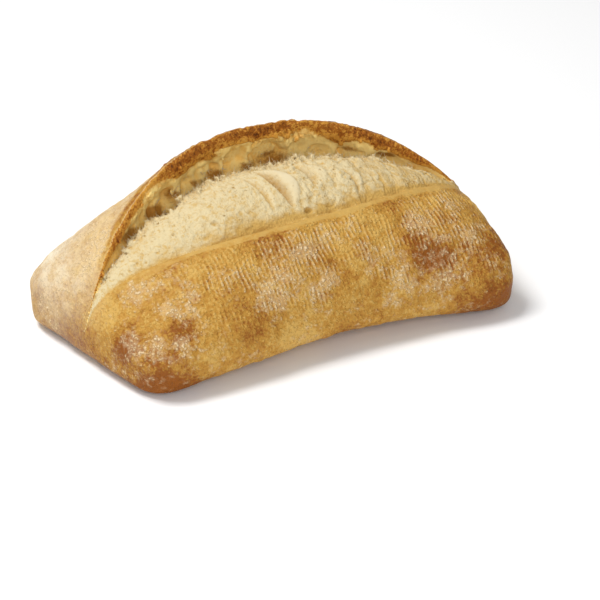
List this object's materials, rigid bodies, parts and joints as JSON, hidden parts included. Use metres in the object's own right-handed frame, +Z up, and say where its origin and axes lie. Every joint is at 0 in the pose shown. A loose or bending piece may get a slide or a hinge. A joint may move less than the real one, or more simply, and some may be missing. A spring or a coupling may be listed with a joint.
{
  "type": "bolillo roll",
  "caption": "Small white bread roll with pointed corners, a long cut along its top, torn crumb swelling out of it and a raised ear of browned crust.",
  "frame": {"origin": "centre of the roll's box in plan, on the flat sole that it rests on", "axes": "+X along the roll, +Z up, and -Y towards the floury front crust, so the raised ear is on the +Y side of the cut"},
  "size_m": [0.1646, 0.0934, 0.0642],
  "materials": {
    "crust": "baked crust, golden tan with browner corners and rim, dusted with flour",
    "crumb": "torn crumb, cream with toasted patches, finely porous"
  },
  "bodies": {
    "root": {"bolillo_roll": "crust"}
  },
  "joints": []
}
